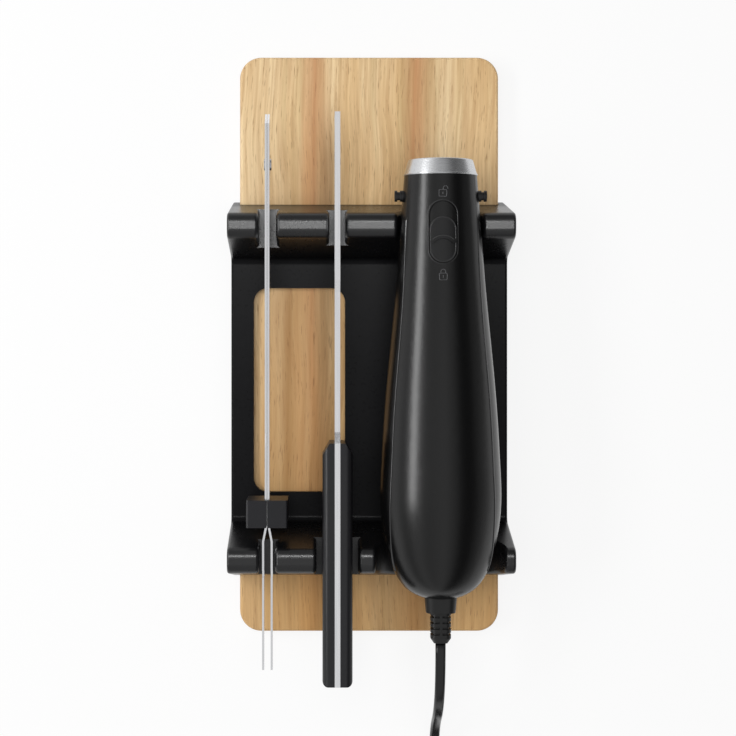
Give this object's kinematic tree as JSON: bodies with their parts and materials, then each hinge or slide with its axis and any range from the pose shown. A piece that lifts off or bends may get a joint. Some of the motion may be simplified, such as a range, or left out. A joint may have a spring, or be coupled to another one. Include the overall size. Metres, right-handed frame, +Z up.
{
  "type": "electric carving knife set",
  "caption": "Corded electric carving knife with its paired blades and a carving fork, stored in a tray that straddles a wooden cutting board.",
  "frame": {"origin": "on the underside of the cutting board, below the tray's centre", "axes": "+Y along the board towards the blades' tips and the knife's nose, +X from the blades towards the knife, +Z up"},
  "size_m": [0.2115, 0.5513, 0.091],
  "materials": {
    "board_wood": "oiled",
    "tray_plastic": "satin",
    "foot_rubber": "matt",
    "blade_steel": "polished",
    "hub_plastic": "matt",
    "fork_steel": "polished",
    "scale_plastic": "satin",
    "rivet_steel": "polished",
    "handle_plastic": "satin",
    "cap_steel": "brushed",
    "control_plastic": "satin",
    "screw_steel": "zinc plated",
    "spring_steel": "bright",
    "carrier_plastic": "natural",
    "chassis_plastic": "glass filled",
    "gear_plastic": "natural",
    "shaft_steel": "ground",
    "bush_bronze": "sintered",
    "core_steel": "stamped",
    "winding_copper": "enamelled",
    "commutator_copper": "turned",
    "fan_plastic": "moulded",
    "brush_brass": "stamped",
    "brush_carbon": "carbon",
    "circuit_laminate": "laminate",
    "capacitor_case": "dipped",
    "diode_case": "moulded",
    "wire_insulation": "flexible",
    "relief_rubber": "matt",
    "cord_sheath": "gloss",
    "plug_plastic": "satin",
    "prong_brass": "plated"
  },
  "bodies": {
    "tray": {"tray_deck": "tray_plastic", "tray_feet": "foot_rubber"},
    "board": {"cutting_board": "board_wood"},
    "left_blade": {"left_blade": "blade_steel", "left_blade_hub": "hub_plastic", "blade_rivet": "rivet_steel"},
    "right_blade": {"right_blade": "blade_steel", "right_blade_hub": "hub_plastic"},
    "fork": {"fork_steel": "fork_steel", "fork_scale_left": "scale_plastic", "fork_scale_right": "scale_plastic", "fork_rivets": "rivet_steel"},
    "lock": {"lock_slider": "control_plastic", "lock_slider_plate": "control_plastic"},
    "trigger": {"trigger": "control_plastic"},
    "release_left": {"release_button_left": "control_plastic"},
    "release_right": {"release_button_right": "control_plastic"},
    "left_carrier": {"left_carrier": "carrier_plastic", "left_blade_latch": "spring_steel"},
    "right_carrier": {"right_carrier": "carrier_plastic", "right_blade_latch": "spring_steel"},
    "armature": {"worm_shaft": "shaft_steel", "armature_core": "core_steel", "armature_windings": "winding_copper", "commutator": "commutator_copper", "cooling_fan": "fan_plastic"},
    "wheel": {"worm_wheel": "gear_plastic"},
    "knife": {"case_screws": "screw_steel", "nose_cap": "cap_steel", "release_spring_left": "spring_steel", "release_spring_right": "spring_steel", "trigger_pin": "shaft_steel", "trigger_spring": "spring_steel", "cord_clamp": "chassis_plastic", "clamp_screws": "screw_steel", "bottom_shell": "handle_plastic", "top_cover": "handle_plastic", "carrier_guide": "chassis_plastic", "gear_chassis": "chassis_plastic", "trigger_switch": "diode_case", "gear_axle": "shaft_steel", "front_bush": "bush_bronze", "rear_bush": "bush_bronze", "stator_core": "core_steel", "field_coils": "winding_copper", "rear_bracket": "chassis_plastic", "brush_holders": "brush_brass", "carbon_brushes": "brush_carbon", "brush_springs": "spring_steel", "circuit_board": "circuit_laminate", "capacitor": "capacitor_case", "rectifier_diodes": "diode_case", "lead_wires": "wire_insulation", "strain_relief": "relief_rubber", "power_cord": "cord_sheath", "cord_coil": "cord_sheath", "plug_body": "plug_plastic", "plug_prongs": "prong_brass"}
  },
  "joints": [
    {"name": "board_slide", "type": "slide", "parent": "tray", "child": "board", "axis": [0, 1, 0], "range_m": [-0.03, 0.26]},
    {"name": "blades_lift", "type": "slide", "parent": "tray", "child": "left_blade", "axis": [0, 0, 1], "range_m": [0, 0.05]},
    {"name": "blade_stroke", "type": "slide", "parent": "left_blade", "child": "right_blade", "axis": [0, 1, 0], "range_m": [-0.004, 0.004]},
    {"name": "fork_lift", "type": "slide", "parent": "tray", "child": "fork", "axis": [0, 0, 1], "range_m": [0, 0.05]},
    {"name": "knife_lift", "type": "slide", "parent": "tray", "child": "knife", "axis": [0, 0, 1], "range_m": [0, 0.06]},
    {"name": "lock_slide", "type": "slide", "parent": "knife", "child": "lock", "axis": [0, 0.998, -0.0633], "range_m": [0, 0.0084]},
    {"name": "trigger_press", "type": "hinge", "parent": "knife", "child": "trigger", "pos_m": [0.04, 0.0648, 0.0446], "axis": [-1, 0, 0], "range_deg": [0, 5], "stiffness_Nm_per_rad": 0.6, "springref_deg": -4.58, "deforming": ["trigger_spring"]},
    {"name": "release_left_press", "type": "slide", "parent": "knife", "child": "release_left", "axis": [1, 0, 0], "range_m": [0, 0.0025], "stiffness_N_per_m": 400, "springref_m": -0.002, "deforming": ["release_spring_left"]},
    {"name": "release_right_press", "type": "slide", "parent": "knife", "child": "release_right", "axis": [-1, 0, 0], "range_m": [0, 0.0025], "stiffness_N_per_m": 400, "springref_m": -0.002, "deforming": ["release_spring_right"]},
    {"name": "left_carrier_slide", "type": "slide", "parent": "knife", "child": "left_carrier", "axis": [0, 1, 0], "range_m": [-0.004, 0.004]},
    {"name": "right_carrier_slide", "type": "slide", "parent": "knife", "child": "right_carrier", "axis": [0, 1, 0], "range_m": [-0.004, 0.004]},
    {"name": "motor_spin", "type": "hinge", "parent": "knife", "child": "armature", "pos_m": [0.04, -0.02, 0.056], "axis": [0, 1, 0], "continuous": true},
    {"name": "wheel_spin", "type": "hinge", "parent": "knife", "child": "wheel", "pos_m": [0.04, 0.0314, 0.07], "axis": [1, 0, 0], "continuous": true}
  ],
  "couplings": [
    {"joint": "wheel_spin", "follows": "motor_spin", "ratio": -0.1},
    {"joint": "right_carrier_slide", "follows": "left_carrier_slide", "ratio": -1}
  ]
}
